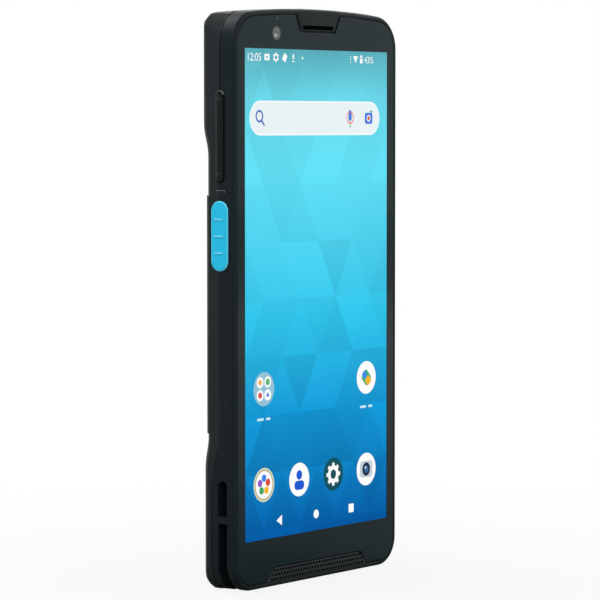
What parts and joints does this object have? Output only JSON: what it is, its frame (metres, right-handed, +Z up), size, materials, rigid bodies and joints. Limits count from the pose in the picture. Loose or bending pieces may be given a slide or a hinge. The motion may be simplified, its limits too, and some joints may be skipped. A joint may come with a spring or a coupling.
{
  "type": "portable barcode data terminal",
  "caption": "Slim rugged handheld barcode terminal: tall touch screen, side scan keys, rocker, foot grille, strap slots, slide-off battery pack in the back.",
  "frame": {"origin": "Middle of the flat foot, halfway through the depth; the terminal stands upright.", "axes": "+X to the right across the screen, +Y from the screen to the back, +Z up along the screen."},
  "size_m": [0.0798, 0.0118, 0.1612],
  "materials": {
    "front_housing_plastic": "fine-textured black moulding",
    "rear_housing_plastic": "fine-textured black moulding",
    "cover_plastic": "fine-textured black moulding",
    "front_glass": "polished, printed black border",
    "adhesive": "black foam tape",
    "display": "lit liquid-crystal panel",
    "camera_black": "black barrel with a sunk lens",
    "light_pipe": "clear moulding",
    "black_mesh": "fine black mesh",
    "module_steel": "plain pressed steel",
    "grille_plastic": "satin black moulding",
    "speaker_black": "black moulding",
    "key_black": "satin black moulding",
    "key_blue": "satin bright blue moulding",
    "flex_amber": "amber flexible circuit",
    "gasket_rubber": "soft seal",
    "cell_foil": "dull foil wrap",
    "contact_gold": "gold plated",
    "antenna_copper": "copper foil",
    "connector_black": "black moulding",
    "screw_steel": "black plated",
    "insert_brass": "plain brass",
    "board_black": "dark green solder mask",
    "engine_alloy": "dark anodised",
    "scan_window": "dark red filter pane",
    "camera_window": "dark polished pane",
    "port_steel": "plain steel sleeve"
  },
  "bodies": {
    "chassis": {"front_housing": "front_housing_plastic", "rear_housing": "rear_housing_plastic", "front_glass": "front_glass", "glass_adhesive": "adhesive", "display_panel": "display", "front_camera": "camera_black", "indicator_light": "light_pipe", "earpiece_mesh": "black_mesh", "earpiece_receiver": "module_steel", "speaker_grille": "grille_plastic", "speaker_mesh": "black_mesh", "loudspeaker": "speaker_black", "left_key_switches": "flex_amber", "right_key_switches": "flex_amber", "housing_gasket": "gasket_rubber", "battery_connector": "connector_black", "battery_contacts": "contact_gold", "housing_screws": "screw_steel", "screw_inserts": "insert_brass", "main_board": "board_black", "shield_cans": "module_steel", "scan_engine": "engine_alloy", "scan_window": "scan_window", "rear_camera": "camera_black", "rear_camera_window": "camera_window", "flash_lamp": "light_pipe", "foot_board": "board_black", "usb_port": "port_steel", "microphone": "module_steel", "vibration_motor": "module_steel", "board_link": "flex_amber"},
    "rocker": {"volume_rocker": "key_black"},
    "left_scan_key": {"scan_key_left": "key_blue"},
    "right_scan_key": {"scan_key_right": "key_blue"},
    "power": {"power_key": "key_black"},
    "battery_pack": {"battery_cover": "cover_plastic", "battery_cell": "cell_foil", "battery_pads": "contact_gold", "near_field_antenna": "antenna_copper"}
  },
  "joints": [
    {"name": "rocker_tilt", "type": "hinge", "parent": "chassis", "child": "rocker", "pos_m": [-0.0373, -0.0011, 0.1256], "axis": [0, 1, 0], "range_deg": [-2, 2], "stiffness_Nm_per_rad": 0.6},
    {"name": "left_scan_press", "type": "slide", "parent": "chassis", "child": "left_scan_key", "axis": [1, 0, 0], "range_m": [0, 0.00045], "stiffness_N_per_m": 5000},
    {"name": "right_scan_press", "type": "slide", "parent": "chassis", "child": "right_scan_key", "axis": [-1, 0, 0], "range_m": [0, 0.00045], "stiffness_N_per_m": 5000},
    {"name": "power_press", "type": "slide", "parent": "chassis", "child": "power", "axis": [-1, 0, 0], "range_m": [0, 0.00045], "stiffness_N_per_m": 4000},
    {"name": "battery_lift", "type": "slide", "parent": "chassis", "child": "battery_pack", "axis": [0, 1, 0], "range_m": [0, 0.03]}
  ]
}
